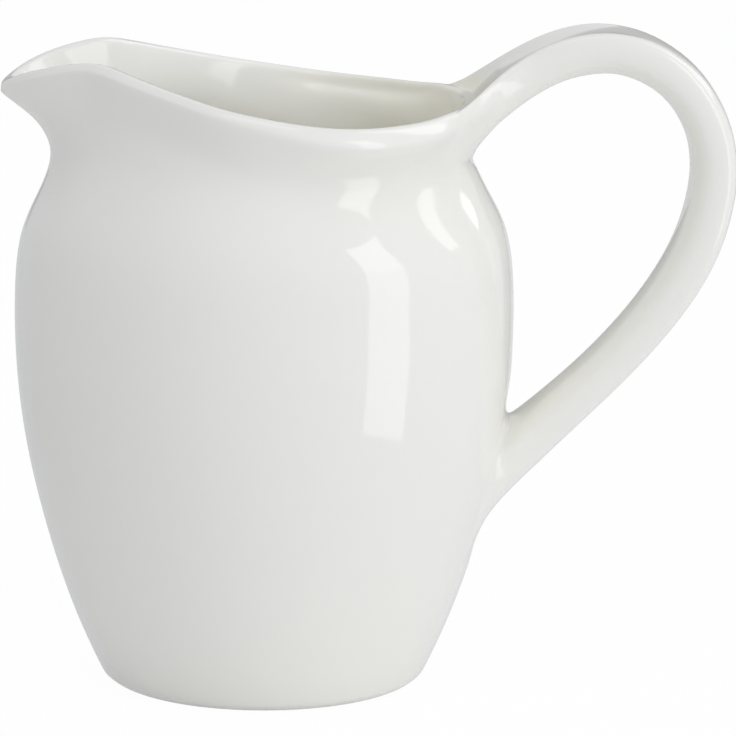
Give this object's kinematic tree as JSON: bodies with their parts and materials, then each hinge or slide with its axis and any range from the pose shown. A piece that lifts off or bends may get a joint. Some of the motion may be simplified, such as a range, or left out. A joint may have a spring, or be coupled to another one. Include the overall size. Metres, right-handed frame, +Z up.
{
  "type": "milk jug",
  "caption": "White glazed porcelain milk jug with a rounded belly, narrow foot, pressed pouring lip and a tall strap handle",
  "frame": {"origin": "middle of the foot ring on the table", "axes": "+Z up out of the mouth, +X from the jug's axis towards the handle, -X towards the pouring lip"},
  "size_m": [0.1173, 0.0804, 0.1056],
  "materials": {
    "glaze": "clear glossy glaze over white porcelain"
  },
  "bodies": {
    "root": {"jug": "glaze"}
  },
  "joints": []
}
